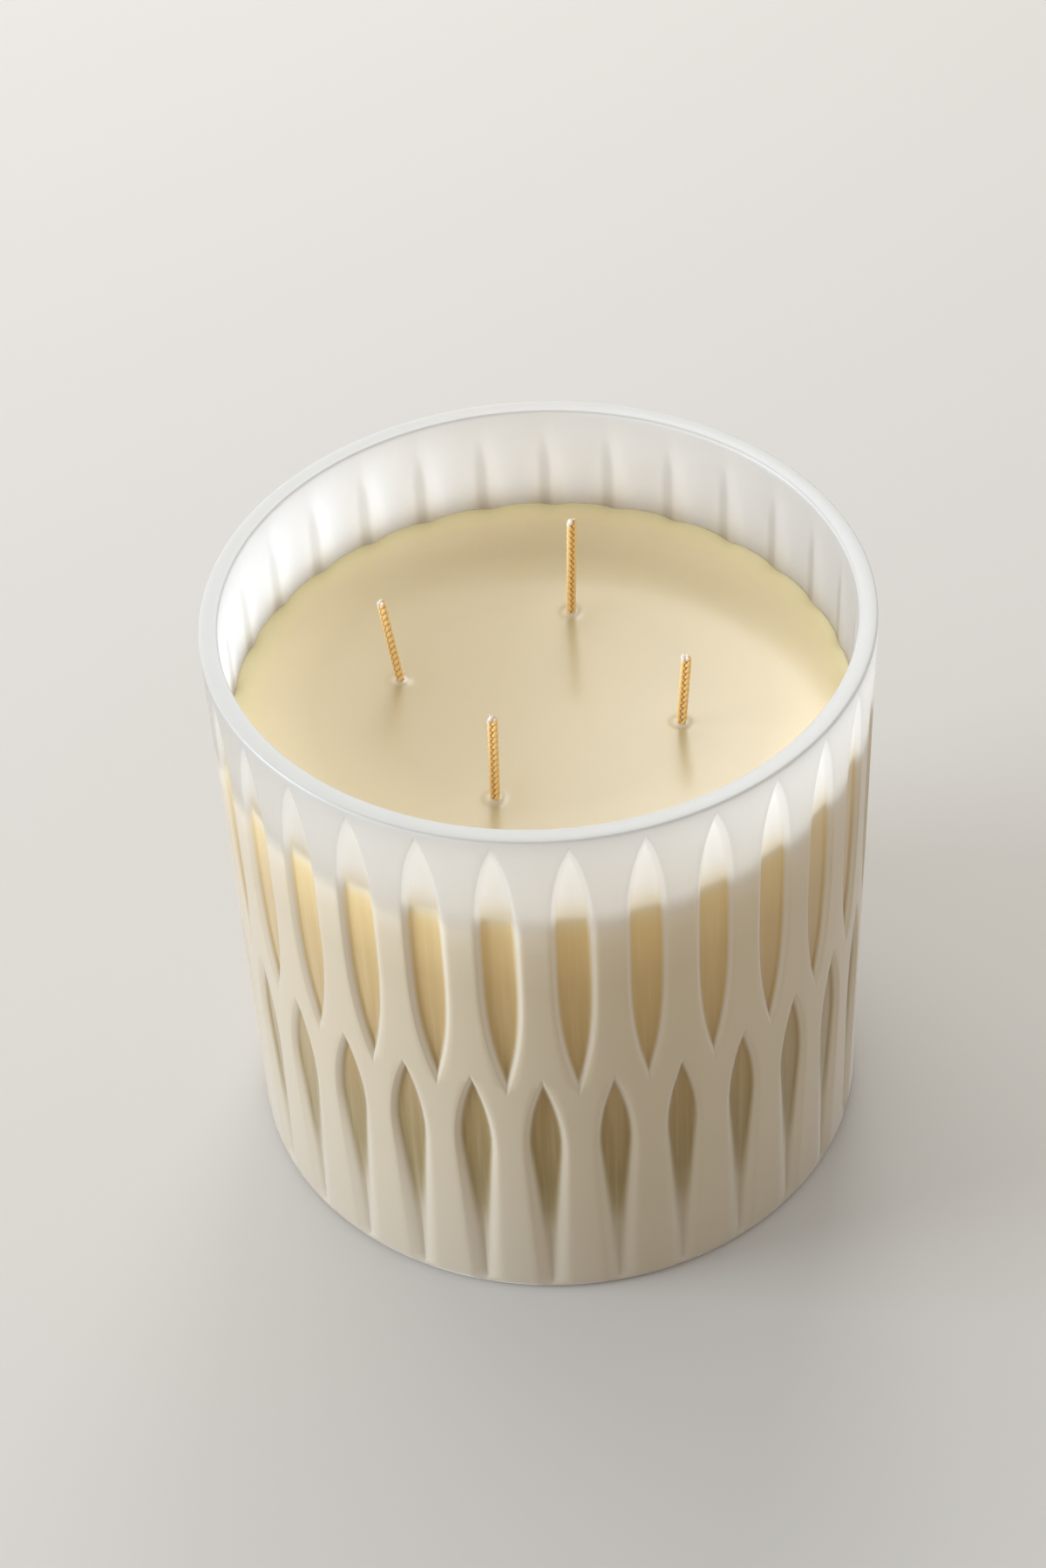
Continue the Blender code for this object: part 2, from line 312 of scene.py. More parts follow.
def taper(below_rim):
    """Half width of a lower recess from its widest place down to the foot."""
    along = (below_rim - LOWER_WIDEST) / (HEIGHT - LOWER_WIDEST)
    return RECESS_HALF_WIDTH + (FOOT_GROOVE_WIDTH / 2 - RECESS_HALF_WIDTH) * along


def upper_recess(below_rim):
    """Half width and bevel width of an upper recess. The half width is negative past its ends."""
    if below_rim < UPPER_WIDEST:
        share = 1 - ((UPPER_WIDEST - below_rim) / (UPPER_WIDEST - UPPER_TIP)) ** UPPER_TIP_POWER
    else:
        share = 1 - ((below_rim - UPPER_WIDEST) / (UPPER_END - UPPER_WIDEST)) ** UPPER_END_POWER
    return RECESS_HALF_WIDTH * share, BEVEL_WIDTH


def lower_recess(below_rim):
    """The same for a lower recess."""
    half = taper(below_rim)
    if below_rim < LOWER_WIDEST:
        past = ((LOWER_WIDEST - below_rim) / (LOWER_WIDEST - LOWER_TIP)) ** LOWER_TIP_POWER
        half = RECESS_HALF_WIDTH * (1 - past)
    closing = max(below_rim - FLOOR_START, 0.0) / (FLOOR_END - FLOOR_START)
    return half, BEVEL_WIDTH + (taper(FLOOR_END) - BEVEL_WIDTH) * closing


print("recess", round(2 * RECESS_HALF_WIDTH / MM, 2), "mm wide, one every", round(360 / RECESS_COUNT, 2),
      "degrees")

# %% [markdown]
# ## One tile of the wall
# The wall repeats, so only the strip from the middle of an upper recess to the middle of the lower recess
# beside it is shaped. It starts as a flat grid. Each column of the grid follows a line of the pattern: the
# middle of the floor, the foot of the bevel, the edge of the land, and the same backwards. That way the
# edges stay crisp without a very fine mesh. Each point is sunk by the depth of the recess it lies in.

# %% Shape the half tile
FLOOR_SHARES = (0.0, 0.5)
BEVEL_SHARES = (0.0, 0.15, 0.5, 0.85)
LAND_SHARES = (0.0, 1 / 3, 2 / 3)
COLUMNS = 2 * (len(FLOOR_SHARES) + len(BEVEL_SHARES)) + len(LAND_SHARES)
LEAST_HALF = 0.9 * MM
LEAST_FLOOR = 0.35 * MM
MOST_FLOOR = 0.6
EDGE_ROUNDING = 0.08
EVEN_ABOVE = 1.2 * MM
WALL_ROWS = [v * MM for v in (
    0.5, 0.9, 1.4, 1.8, 2.3, 2.9, 3.6, 4.5, 5.6, 7, 8.6, 10.5, 13, 16, 19, 22, 25, 29, 34, 39, 44, 49, 54, 59,
    63, 66.5, 69.5, 72, 73.6, 74.4, 75.1, 75.9, 76.7, 77.5, 78.2, 78.9, 79.5, 80.3, 81.3, 82.5, 84, 86, 88.5,
    92, 96, 100, 104, 108, 112, 116, 120, 123, 126, 130, 134, 138, 142, 144.5, 146.3)]


def edges_from_middle(section):
    """Where the columns of one recess stand, from its middle to its edge."""
    half, bevel = section
    edge = max(half, LEAST_HALF)
    floor = min(max(half - bevel, LEAST_FLOOR), edge * MOST_FLOOR)
    return [floor * s for s in FLOOR_SHARES] + [floor + (edge - floor) * s for s in BEVEL_SHARES] + [edge]


def column_places(below_rim, half_pitch):
    """Distances along the wall of all columns, from the upper recess's middle to the lower one's."""
    upper = edges_from_middle(upper_recess(below_rim))
    lower = [half_pitch - place for place in reversed(edges_from_middle(lower_recess(below_rim)))]
    land = [upper[-1] + (lower[0] - upper[-1]) * s for s in LAND_SHARES[1:]]
    return upper + land + lower


def sunk_share(place, section):
    """How deep a point is sunk, from 0 on the land to 1 on the floor, with softly rounded edges."""
    half, bevel = section
    inside = min((half - abs(place)) / bevel, 1.0)
    if inside <= 0:
        return 0.0
    return inside - EDGE_ROUNDING * math.sin(2 * math.pi * inside)


def depth_share(place, below_rim, half_pitch):
    upper = sunk_share(place, upper_recess(below_rim))
    lower = sunk_share(half_pitch - place, lower_recess(below_rim))
    return max(upper, lower)


def half_tile(bm, marks):
    """The strip between the middles of an upper and a lower recess."""
    bmesh.ops.create_grid(bm, x_segments=COLUMNS, y_segments=len(WALL_ROWS) - 1, size=1)
    for vert in bm.verts:
        column = round((vert.co.x + 1) / 2 * COLUMNS)
        below_rim = WALL_ROWS[round((1 - vert.co.y) / 2 * (len(WALL_ROWS) - 1))]
        radius = outer_radius(HEIGHT - below_rim)
        half_pitch = HALF_PITCH * radius
        place = column_places(below_rim, half_pitch)[column]
        if below_rim < EVEN_ABOVE:
            place = half_pitch * column / COLUMNS
        share = depth_share(place, below_rim, half_pitch)
        vert[marks] = Vector((share, 0.0, 0.0))
        sunk = radius - RECESS_DEPTH * share
        vert.co = (sunk * math.cos(place / radius), sunk * math.sin(place / radius), HEIGHT - below_rim)


print("columns in a half tile:", COLUMNS, "rows:", len(WALL_ROWS))

# %% [markdown]
# ## The whole vessel
# The half tile is mirrored to a full one, and the full one is copied 28 times round the axis, which is how a
# pressed pattern repeats. The open upper and lower edges of that wall are then drawn out ring by ring: over
# the flat rim and down inside to the floor, and round the heel and under the foot. Both ends close in a pole.
# Behind each recess the inner wall swells a little, because the mould presses glass inwards there. Each point
# inside is also marked with how dark the recess behind it looks, which the finish turns into soft streaks of
# painted shade, each with a painted gleam beside it.

# %% Copy, rim, inside and foot
RIDGE_HEIGHT, RIDGE_WIDTH, RIDGE_OFFSET = 0.45 * MM, 2.8 * MM, -1.5 * MM
STREAK_START, STREAK_FULL = 3.5 * MM, 15.0 * MM
# Width and place of each streak's painted shade, and of the painted gleam beside it.
STREAK_WIDTH, STREAK_OFFSET = 1.7 * MM, 0.6 * MM
GLEAM_WIDTH, GLEAM_FULL, GLEAM_STRENGTH = 1.3 * MM, 6 * MM, 0.7
GLEAM_START, GLEAM_SLANT, GLEAM_END = -0.3 * MM, 0.2, -4.5 * MM
INSIDE_ROWS = [v * MM for v in (2, 4, 6, 8, 10, 13, 16, 19, 22, 24, 26, 28, 60, 95)]
RIM_STEPS, CORNER_STEPS = 4, 5
MIDDLE_RING = 25 * MM
FOOT_EDGE_WIDTH, FOOT_EDGE_HEIGHT = 0.4 * MM, 0.05 * MM
POLE = 0.001 * MM


def arc_points(centre_r, centre_z, radius, start, end, steps):
    """Points on an arc, after its first one, between two angles in degrees."""
    points = []
    for i in range(1, steps + 1):
        angle = math.radians(start + (end - start) * i / steps)
        points.append((centre_r + radius * math.cos(angle), centre_z + radius * math.sin(angle)))
    return points


def inside_rings():
    """Radius and height of each ring from the wall's upper edge over the rim to the middle of the floor."""
    rim_low = HEIGHT - RIM_EDGE_RADIUS
    inner_edge = outer_radius(rim_low) - WALL
    rings = arc_points(outer_radius(rim_low) - RIM_EDGE_RADIUS, rim_low, RIM_EDGE_RADIUS, 0, 90, RIM_STEPS)
    rings.append(((outer_radius(HEIGHT) * 2 - WALL) / 2, HEIGHT))
    rings.append((inner_edge + RIM_EDGE_RADIUS, HEIGHT))
    rings += arc_points(inner_edge + RIM_EDGE_RADIUS, rim_low, RIM_EDGE_RADIUS, 90, 180, RIM_STEPS)
    rings += [(outer_radius(HEIGHT - below) - WALL, HEIGHT - below) for below in INSIDE_ROWS]
    corner = BASE_THICKNESS + INNER_CORNER_RADIUS
    centre = outer_radius(corner) - WALL - INNER_CORNER_RADIUS
    rings.append((outer_radius(corner) - WALL, corner))
    rings += arc_points(centre, corner, INNER_CORNER_RADIUS, 0, -90, CORNER_STEPS)
    return rings + [(MIDDLE_RING, BASE_THICKNESS), (0.0, BASE_THICKNESS)]


def foot_rings():
    """The same from the wall's lower edge round the heel to the middle of the underside."""
    heel = outer_radius(HEEL_RADIUS) - HEEL_RADIUS
    rings = arc_points(heel, HEEL_RADIUS, HEEL_RADIUS, 0, -90, CORNER_STEPS)
    ring_inner = heel - FOOT_RING_WIDTH
    rings += [(ring_inner + FOOT_EDGE_WIDTH, 0.0), (ring_inner, FOOT_EDGE_HEIGHT)]
    rings += [(ring_inner - PUSH_UP_SLOPE / 2, PUSH_UP / 2), (ring_inner - PUSH_UP_SLOPE, PUSH_UP)]
    return rings + [(MIDDLE_RING, PUSH_UP), (0.0, PUSH_UP)]


def hump(place, middle, width):
    """1 at the middle and softly down to 0 on both sides."""
    return math.exp(-((place - middle) / width) ** 2)


def off_middle(angle):
    """Distance along the inner wall from the middle of the nearest upper recess."""
    pitch = 2 * HALF_PITCH
    return ((angle + HALF_PITCH) % pitch - HALF_PITCH) * (RIM_RADIUS - WALL)


def grown(below_rim):
    """How much of a ridge or streak there is, from 0 near the rim to 1 lower down."""
    return min(max((below_rim - STREAK_START) / (STREAK_FULL - STREAK_START), 0.0), 1.0)


def ridge(angle, below_rim):
    """How far the wall swells inwards behind a recess."""
    return RIDGE_HEIGHT * grown(below_rim) * hump(off_middle(angle), RIDGE_OFFSET, RIDGE_WIDTH)


def shade_streak(angle, below_rim):
    """The painted shade of the recess that shows through the wall: above 0 it is darker, below 0 it is a
    painted gleam.
    """
    place = off_middle(angle)
    gleam_place = max(GLEAM_START - GLEAM_SLANT * below_rim, GLEAM_END)
    gleam = min(below_rim / GLEAM_FULL, 1.0) * hump(place, gleam_place, GLEAM_WIDTH)
    return grown(below_rim) * hump(place, STREAK_OFFSET, STREAK_WIDTH) - GLEAM_STRENGTH * gleam


def draw_rings(bm, edges, rings, marks, inside):
    """Extrudes an open edge loop through rings of given radius and height."""
    for radius, height in rings:
        made = bmesh.ops.extrude_edge_only(bm, edges=edges)["geom"]
        edges = [item for item in made if isinstance(item, bmesh.types.BMEdge)]
        inner = inside and radius < outer_radius(height) - RIM_EDGE_RADIUS
        for vert in [item for item in made if isinstance(item, bmesh.types.BMVert)]:
            angle = math.atan2(vert.co.y, vert.co.x)
            out = max(radius, POLE)
            if inner and height > BASE_THICKNESS + INNER_CORNER_RADIUS:
                out -= ridge(angle, HEIGHT - height)
            vert.co = (out * math.cos(angle), out * math.sin(angle), height)
            vert[marks] = Vector((0.0, shade_streak(angle, HEIGHT - height), 1.0)) if inner else Vector()


def loop_at(bm, height):
    return [edge for edge in bm.edges if edge.is_boundary
            and all(abs(vert.co.z - height) < POLE for vert in edge.verts)]


def make_vessel():
    """The whole glass. Its marks: how deep a point is sunk, the painted shade of the streaks, and 1 on the
    inner wall.
    """
    bm = bmesh.new()
    marks = bm.verts.layers.float_vector.new("marks")
    half_tile(bm, marks)
    whole = bm.verts[:] + bm.edges[:] + bm.faces[:]
    bmesh.ops.mirror(bm, geom=whole, axis="Y", merge_dist=POLE)
    copies = RECESS_COUNT - 1
    whole = bm.verts[:] + bm.edges[:] + bm.faces[:]
    bmesh.ops.spin(bm, geom=whole, cent=(0, 0, 0), axis=(0, 0, 1), angle=2 * math.pi * copies / RECESS_COUNT,
                   steps=copies, use_duplicate=True)
    bmesh.ops.remove_doubles(bm, verts=bm.verts[:], dist=2 * POLE)
    draw_rings(bm, loop_at(bm, HEIGHT - WALL_ROWS[0]), inside_rings(), marks, True)
    draw_rings(bm, loop_at(bm, HEIGHT - WALL_ROWS[-1]), foot_rings(), marks, False)
    bmesh.ops.remove_doubles(bm, verts=bm.verts[:], dist=4 * POLE)
    bmesh.ops.recalc_face_normals(bm, faces=bm.faces[:])
    bmesh.ops.rotate(bm, verts=bm.verts[:], cent=(0, 0, 0), matrix=Matrix.Rotation(PATTERN_TURN, 3, "Z"))
    return bm


def new_piece(name, bm, slot, *nodes):
    """Makes the mesh an object that stands for the named nodes and moves with them."""
    mesh = bpy.data.meshes.new(name)
    bm.to_mesh(mesh)
    bm.free()
    mesh.shade_smooth()
    piece = bpy.data.objects.new(name, mesh)
    bpy.context.scene.collection.objects.link(piece)
    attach(piece, "root")
    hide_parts(*nodes)
    open_edges = sum(1 for faces in faces_at_edges(mesh) if faces != 2)
    print(name, len(mesh.vertices), "vertices,", open_edges, "open edges")
    return piece


def faces_at_edges(mesh):
    """How many faces meet at each edge. A closed mesh has two at every one."""
    counts = [0] * len(mesh.edges)
    for loop in mesh.loops:
        counts[loop.edge_index] += 1
    return counts


vessel = new_piece("tumbler", make_vessel(), "frosted_glass", "glass_vessel")

# %% [markdown]
# ## Frosted glass
# The glass is milky: it scatters light, so it looks white where it is thick and lets what lies behind show
# where it is thin. Above the wax it glows with light from the other side. Translucent shaders give that, one
# each for thick glass, thin glass, the glass near the wax and the streaks of painted shade, mixed by where a
# point lies and then mixed into the plain shader. Below the wax line the lands turn beige and the thin floors
# of the recesses show the wax's gold with painted light: brightest just under the wax line, where light
# enters the wax's top, and painted darker towards the foot. Both colours come from ramps down the height. The
# floor's colours start a little lower at its edges, so the gold begins in an arch. A thin coat and a sheen
# stand for the fine etched surface, which looks whitest where light grazes it.

# %% Colours of the glass
# The lands and the recesses' floors have a colour for each of these depths below the rim, in millimetres.
LAND_COLOURS = (
    (0.0, (0.82, 0.82, 0.81)), (18, (0.80, 0.79, 0.77)), (22, (0.80, 0.77, 0.72)), (28, (0.80, 0.72, 0.57)),
    (34, (0.72, 0.62, 0.45)), (45, (0.65, 0.555, 0.395)), (100, (0.62, 0.54, 0.40)),
    (148.5, (0.57, 0.50, 0.385)))
# The floors show the wax through thin glass with painted light: brightest just under the wax line, where
# light enters the wax's top, and painted darker towards the foot.
FLOOR_COLOURS_WITH_PAINTED_LIGHT = (
    (0.0, (0.95, 0.95, 0.93)), (22, (0.94, 0.92, 0.86)), (24, (0.90, 0.85, 0.70)), (25.2, (0.86, 0.74, 0.47)),
    (28, (0.84, 0.65, 0.31)), (31, (0.80, 0.59, 0.25)), (45, (0.62, 0.43, 0.165)), (60, (0.53, 0.36, 0.13)),
    (80, (0.38, 0.25, 0.08)), (100, (0.30, 0.20, 0.05)), (112, (0.27, 0.19, 0.05)), (120, (0.32, 0.24, 0.10)),
    (128, (0.46, 0.38, 0.26)), (148.5, (0.48, 0.42, 0.31)))
FLOOR_STREAK_COLOUR = (0.95, 0.85, 0.62)
# Painted light on the bevels: they are painted paler than the lands, as their edges scatter light.
BEVEL_LIGHT_COLOUR = (0.86, 0.84, 0.79)
INNER_COLOUR = (0.87, 0.87, 0.86)
RIM_COLOUR = (0.51, 0.505, 0.48)
# Painted shade of the streaks on the inner wall, and the painted gleam beside them.
STREAK_SHADE_COLOUR = (0.62, 0.605, 0.575)
GLEAM_COLOUR = (1.0, 1.0, 1.0)
THROUGH_THICK = (0.84, 0.835, 0.825)
THROUGH_THIN = (1.0, 1.0, 1.0)
THROUGH_WAXED = (0.88, 0.80, 0.63)


def colours_down(finish, down, colours):
    """A ramp of colours down the height."""
    stops = [(depth * MM / HEIGHT, colour) for depth, colour in colours]
    return finish.node("ValToRGB", {"stops": stops}, {0: down})


print("glass colours:", len(LAND_COLOURS), "down the lands and", len(FLOOR_COLOURS_WITH_PAINTED_LIGHT), "down the floors")

# %% Colour of the surface
# How deep a point is sunk where the floor begins, and where the bevel begins and ends.
FLOOR_BEGINS = (0.42, 1.0)
BEVEL_BEGINS, BEVEL_ENDS = (0.02, 0.30), (0.45, 0.95)
# The share of painted light on the bevels, and how much of it is lost lower down.
BEVEL_LIGHT_SHARE, BEVEL_LIGHT_LOST = 0.30, 0.20
LOW_PART = (0.45, 0.65)
FLOOR_STREAKS = (900.0, 900.0, 25.0)
FLOOR_STREAK_RANGE, FLOOR_STREAK_SHARE = (0.45, 0.75), 0.10
STREAK_SHADE_SHARE = 0.55
GLEAM_RANGE, GLEAM_SHARE = 0.7, 0.8
RIM_COLOUR_ENDS = (0.1, 0.6)


def below(finish, down, depths):
    """0 above the first depth below the rim and 1 under the second, both in millimetres."""
    low, high = depths
    return finish.rise(down, low * MM / HEIGHT, high * MM / HEIGHT)


def inside_colour(finish, shade):
    """The colour of the inner wall, with painted shade in the streaks and a painted gleam beside each."""
    colour = finish.mix(finish.rise(shade, 0.0, 1.0) * STREAK_SHADE_SHARE, INNER_COLOUR, STREAK_SHADE_COLOUR)
    return finish.mix(finish.rise(shade * (-1), 0.0, GLEAM_RANGE) * GLEAM_SHARE, colour, GLEAM_COLOUR)


def outside_colour(finish, place, down, deeper, window, bevel):
    """The lands with painted light on their paler bevels, less of it lower down, and the floors with the
    faint upright streaks of set wax.
    """
    streaks = finish.rise(finish.noise(finish.stretched(place, FLOOR_STREAKS), 1.0), *FLOOR_STREAK_RANGE)
    floor = colours_down(finish, deeper, FLOOR_COLOURS_WITH_PAINTED_LIGHT)
    floor = finish.mix(streaks * FLOOR_STREAK_SHARE, floor, FLOOR_STREAK_COLOUR)
    pale = bevel * (BEVEL_LIGHT_SHARE - finish.rise(down, *LOW_PART) * BEVEL_LIGHT_LOST)
    land = finish.mix(pale, colours_down(finish, down, LAND_COLOURS), BEVEL_LIGHT_COLOUR)
    return finish.mix(window, land, floor)


print("parts of the glass's colour: lands, bevels, floors, inner wall, rim")

# %% Light through the glass
# Depths below the rim, in millimetres, between which the glow changes or ends.
WAXED_BEGINS = (16, 27)
LAND_GLOW_ENDS, THIN_GLOW_ENDS, INNER_GLOW_ENDS = (21, 29), (22.6, 26), (28, 31)
RIM_GLOW_BEGINS = (0.2, 1.2)
LAND_GLOW, SUNK_GLOW, INNER_GLOW, RIM_GLOW = 0.80, 0.14, 0.80, 0.35


def light_through(finish, relief, down, window, bevel, shade, inner):
    """The light that comes through: a translucent shader for each kind of glass, mixed by where it lies, and
    a dark one that paints the streaks' shade.
    """
    thick, thin, waxed, dark = [
        finish.node("BsdfTranslucent", {}, {"Color": as_colour(through), "Normal": relief})
        for through in (THROUGH_THICK, THROUGH_THIN, THROUGH_WAXED, STREAK_SHADE_COLOUR)]
    clear = inner + (1 - inner) * (window + bevel)
    glow = finish.blend(clear, thick, thin)
    glow = finish.blend(below(finish, down, WAXED_BEGINS) * window, glow, waxed)
    return finish.blend(finish.rise(shade, 0.0, 1.0) * inner * STREAK_SHADE_SHARE, glow, dark)


def share_through(finish, down, deeper, sunk, window, inner):
    """How much of a point's look is light from behind: none under the wax line, and little on the rim."""
    land_part = 1 - below(finish, down, LAND_GLOW_ENDS)
    thin_part = 1 - below(finish, deeper, THIN_GLOW_ENDS)
    inner_part = 1 - below(finish, down, INNER_GLOW_ENDS)
    outer_part = (window * thin_part + (1 - window) * land_part) * (LAND_GLOW + sunk * SUNK_GLOW)
    over_wax = inner * inner_part * INNER_GLOW + (1 - inner) * outer_part
    return over_wax * (RIM_GLOW + below(finish, down, RIM_GLOW_BEGINS) * (1 - RIM_GLOW))


print("the glow ends at", THIN_GLOW_ENDS[1], "mm on the floors and", LAND_GLOW_ENDS[1], "mm on the lands")

# %% Finish of the glass
FLOOR_LIFT = 2.5 * MM
GRAIN_SCALE, GRAIN_DETAIL, GRAIN_HEIGHT = 2600.0, 3.0, 0.01 * MM


def glass_finish():
    finish = Finish("frosted_glass")
    place = finish.object_place()
    down = (HEIGHT - finish.split(place)[2]) * (1 / HEIGHT)
    sunk, shade, inner = finish.marks()
    window = finish.rise(sunk, *FLOOR_BEGINS)
    bevel = finish.rise(sunk, *BEVEL_BEGINS) * (1 - finish.rise(sunk, *BEVEL_ENDS))
    deeper = down - (1 - window) * (FLOOR_LIFT / HEIGHT)
    outside = outside_colour(finish, place, down, deeper, window, bevel)
    colour = finish.mix(inner, outside, inside_colour(finish, shade))
    colour = finish.mix(below(finish, down, RIM_COLOUR_ENDS), RIM_COLOUR, colour)
    grain = finish.noise(place, GRAIN_SCALE, GRAIN_DETAIL)
    relief = finish.bump(grain, 1.0, GRAIN_HEIGHT)
    sockets = {"Base Color": colour, "Roughness": 0.36 + grain * 0.10, "Normal": relief, "Coat Weight": 0.8,
               "Coat Roughness": 0.28, "Sheen Weight": 1.0, "Sheen Roughness": 0.40,
               "Subsurface Weight": 0.35, "Subsurface Radius": (1.0, 0.95, 0.85), "Subsurface Scale": 0.0025}
    plain = finish.node("BsdfPrincipled", {}, sockets)
    glow = light_through(finish, relief, down, window, bevel, shade, inner)
    return finish.surface(finish.blend(share_through(finish, down, deeper, sunk, window, inner), plain, glow))


vessel.data.materials.append(glass_finish())
print("glass finish:", len(vessel.data.materials[0].node_tree.nodes), "nodes")

# %% [markdown]
# ## The wax
# The wax was poured and set slowly: its top is almost flat, creeps up a little at the glass and round each
# wick, and sinks very slightly beside them. Its edge follows the ridges of the inner wall, so it is gently
# scalloped. A solid turned from the wax's outline gives the body. Its top is then divided finely near the
# wicks, and its points are lifted by a sum of those small forms.

# %% Sizes of the wax and the wicks
GAP = 0.3 * MM
WAX_TOP = HEIGHT - 27.5 * MM
WAX_DEPTH = HEIGHT - WAX_TOP
MENISCUS_WIDTH = 2.4 * MM
SEAT = 0.02 * MM
WAX_BOTTOM = BASE_THICKNESS + GAP
WICK_RADIUS = 1.2 * MM
# Each wick's foot, how tall it stands over the wax, and how far its tip leans to the right.
WICKS = {
    "front": (Vector((-11.3, -32.2, 0)) * MM, 23.7 * MM, 0.5 * MM),
    "right": (Vector((31.0, -10.5, 0)) * MM, 19.6 * MM, 1.3 * MM),
    "back": (Vector((7.8, 29.5, 0)) * MM, 27.2 * MM, 1.0 * MM),
    "left": (Vector((-32.1, 8.6, 0)) * MM, 23.6 * MM, -2.8 * MM),
}
WAX_COLUMNS = 16 * RECESS_COUNT
WAX_RINGS = [v * MM for v in (0.01, *range(3, 66, 3), 65, 66.5, 67.8, 68.6, 69.2, 69.7, 70.1)]
LIP_DEPTH = 2 * MM
FINE_REACHES = (9 * MM, 4.5 * MM)
NEAR_TOP = 0.1 * MM
WELD = 0.02 * MM
EDGE_RISE = 0.35 * MM
COLLAR_RISE, COLLAR_WIDTH, COLLAR_POWER = 0.4 * MM, 0.9 * MM, 1.5
COLLAR_MARK_WIDTH = 0.8 * MM
DISH_DEPTH, DISH_WIDTH = 0.12 * MM, 6.0 * MM
print("wax top at", round(WAX_TOP / MM, 1), "mm, rings on it:", len(WAX_RINGS) + 1)


# %% Shape the wax
def wick_distance(x, y):
    """Distance from a point of the wax's top to the nearest wick."""
    return min(math.hypot(x - base.x, y - base.y) for base, _, _ in WICKS.values())


def wax_lift(x, y):
    """How far the wax's top stands over its level at a point."""
    radius = math.hypot(x, y)
    edge = outer_radius(WAX_TOP) - WALL - GAP
    angle = math.atan2(y, x) - PATTERN_TURN
    rise = EDGE_RISE - ridge(angle, WAX_DEPTH)
    lift = rise * min(max(1 - (edge - radius) / MENISCUS_WIDTH, 0.0), 1.0) ** 2
    for base, _, _ in WICKS.values():
        off = math.hypot(x - base.x, y - base.y)
        lift -= DISH_DEPTH * math.exp(-(off / DISH_WIDTH) ** 2)
        lift += COLLAR_RISE * math.exp(-(max(off - WICK_RADIUS, 0.0) / COLLAR_WIDTH) ** COLLAR_POWER)
    return lift


def wax_outline(bm):
    """Half the wax's outline, from the middle of its top out and down to the middle of its underside."""
    edge = outer_radius(WAX_TOP) - WALL + SEAT
    corner = BASE_THICKNESS + INNER_CORNER_RADIUS
    centre = outer_radius(corner) - WALL - INNER_CORNER_RADIUS
    places = [(radius, WAX_TOP) for radius in WAX_RINGS]
    places += [(edge, WAX_TOP), (edge - GAP, WAX_TOP - LIP_DEPTH)]
    places.append((outer_radius(corner) - WALL - GAP, corner))
    places += arc_points(centre, corner, INNER_CORNER_RADIUS - GAP, 0, -90, CORNER_STEPS)
    places.append((WAX_RINGS[0], WAX_BOTTOM))
    chain = [bm.verts.new((radius, 0, height)) for radius, height in places]
    return chain + [bm.edges.new(pair) for pair in zip(chain, chain[1:])]


def scallop(vert):
    """Draws a point of the wax's edge in behind the ridges of the wall."""
    radius = math.hypot(vert.co.x, vert.co.y)
    share = min(1 - (RIM_RADIUS - WALL - radius) / MENISCUS_WIDTH, 1.0)
    if vert.co.z > BASE_THICKNESS + INNER_CORNER_RADIUS and share > 0:
        inset = ridge(math.atan2(vert.co.y, vert.co.x) - PATTERN_TURN, WAX_DEPTH) * share
        vert.co.x *= 1 - inset / radius
        vert.co.y *= 1 - inset / radius


def make_wax():
    """The wax as a closed solid, with a mark on the collars round the wicks, where a highlight is painted."""
    bm = bmesh.new()
    bmesh.ops.spin(bm, geom=wax_outline(bm), cent=(0, 0, 0), axis=(0, 0, 1), angle=2 * math.pi,
                   steps=WAX_COLUMNS, use_merge=True)
    bmesh.ops.remove_doubles(bm, verts=bm.verts[:], dist=WELD)
    for reach in FINE_REACHES:
        near = [edge for edge in bm.edges
                if all(v.co.z > WAX_TOP - MM and wick_distance(v.co.x, v.co.y) < reach for v in edge.verts)]
        bmesh.ops.subdivide_edges(bm, edges=near, cuts=1, use_grid_fill=True)
    collars = bm.verts.layers.float.new("collar")
    for vert in bm.verts:
        if vert.co.z > WAX_TOP - NEAR_TOP:
            vert.co.z += wax_lift(vert.co.x, vert.co.y)
            off = max(wick_distance(vert.co.x, vert.co.y) - WICK_RADIUS, 0.0)
            vert[collars] = math.exp(-(off / COLLAR_MARK_WIDTH) ** 2)
        scallop(vert)
    bmesh.ops.recalc_face_normals(bm, faces=bm.faces[:])
    return bm


wax = new_piece("wax", make_wax(), "cream_wax", "wax_fill")

# %% [markdown]
# ## Wax finish
# Wax scatters light a few millimetres deep, so its shadows are soft and warm. Subsurface scattering gives
# that. The colour is a warm cream, painted paler and yellower near the glass as a painted glow of the light
# that enters from the side, with a very faint mottle. The collars round the wicks are painted paler, a
# painted highlight. The surface has a satin sheen that varies slightly where it cooled unevenly.

# %% Finish of the wax
# The colour at each distance from the middle, in millimetres. It is painted paler and yellower out to the
# glass, a painted glow of the light that enters through the glass.
WAX_COLOURS_AND_EDGE_GLOW = (
    (0, (0.545, 0.435, 0.235)), (35, (0.575, 0.465, 0.26)), (52, (0.67, 0.55, 0.325)),
    (63, (0.84, 0.70, 0.43)), (68, (0.97, 0.80, 0.47)), (71, (1.0, 0.81, 0.45)))
WAX_PALE = (0.66, 0.55, 0.36)
MOTTLE_SCALE, MOTTLE_RANGE, MOTTLE_SHARE = 30.0, (0.30, 0.75), 0.10
COLLAR_HIGHLIGHT_COLOUR, COLLAR_HIGHLIGHT_SHARE = (0.88, 0.82, 0.70), 0.5
RIPPLE_SCALE = 60.0
PORE_SCALE, PORE_DEPTH = 700.0, 0.005 * MM


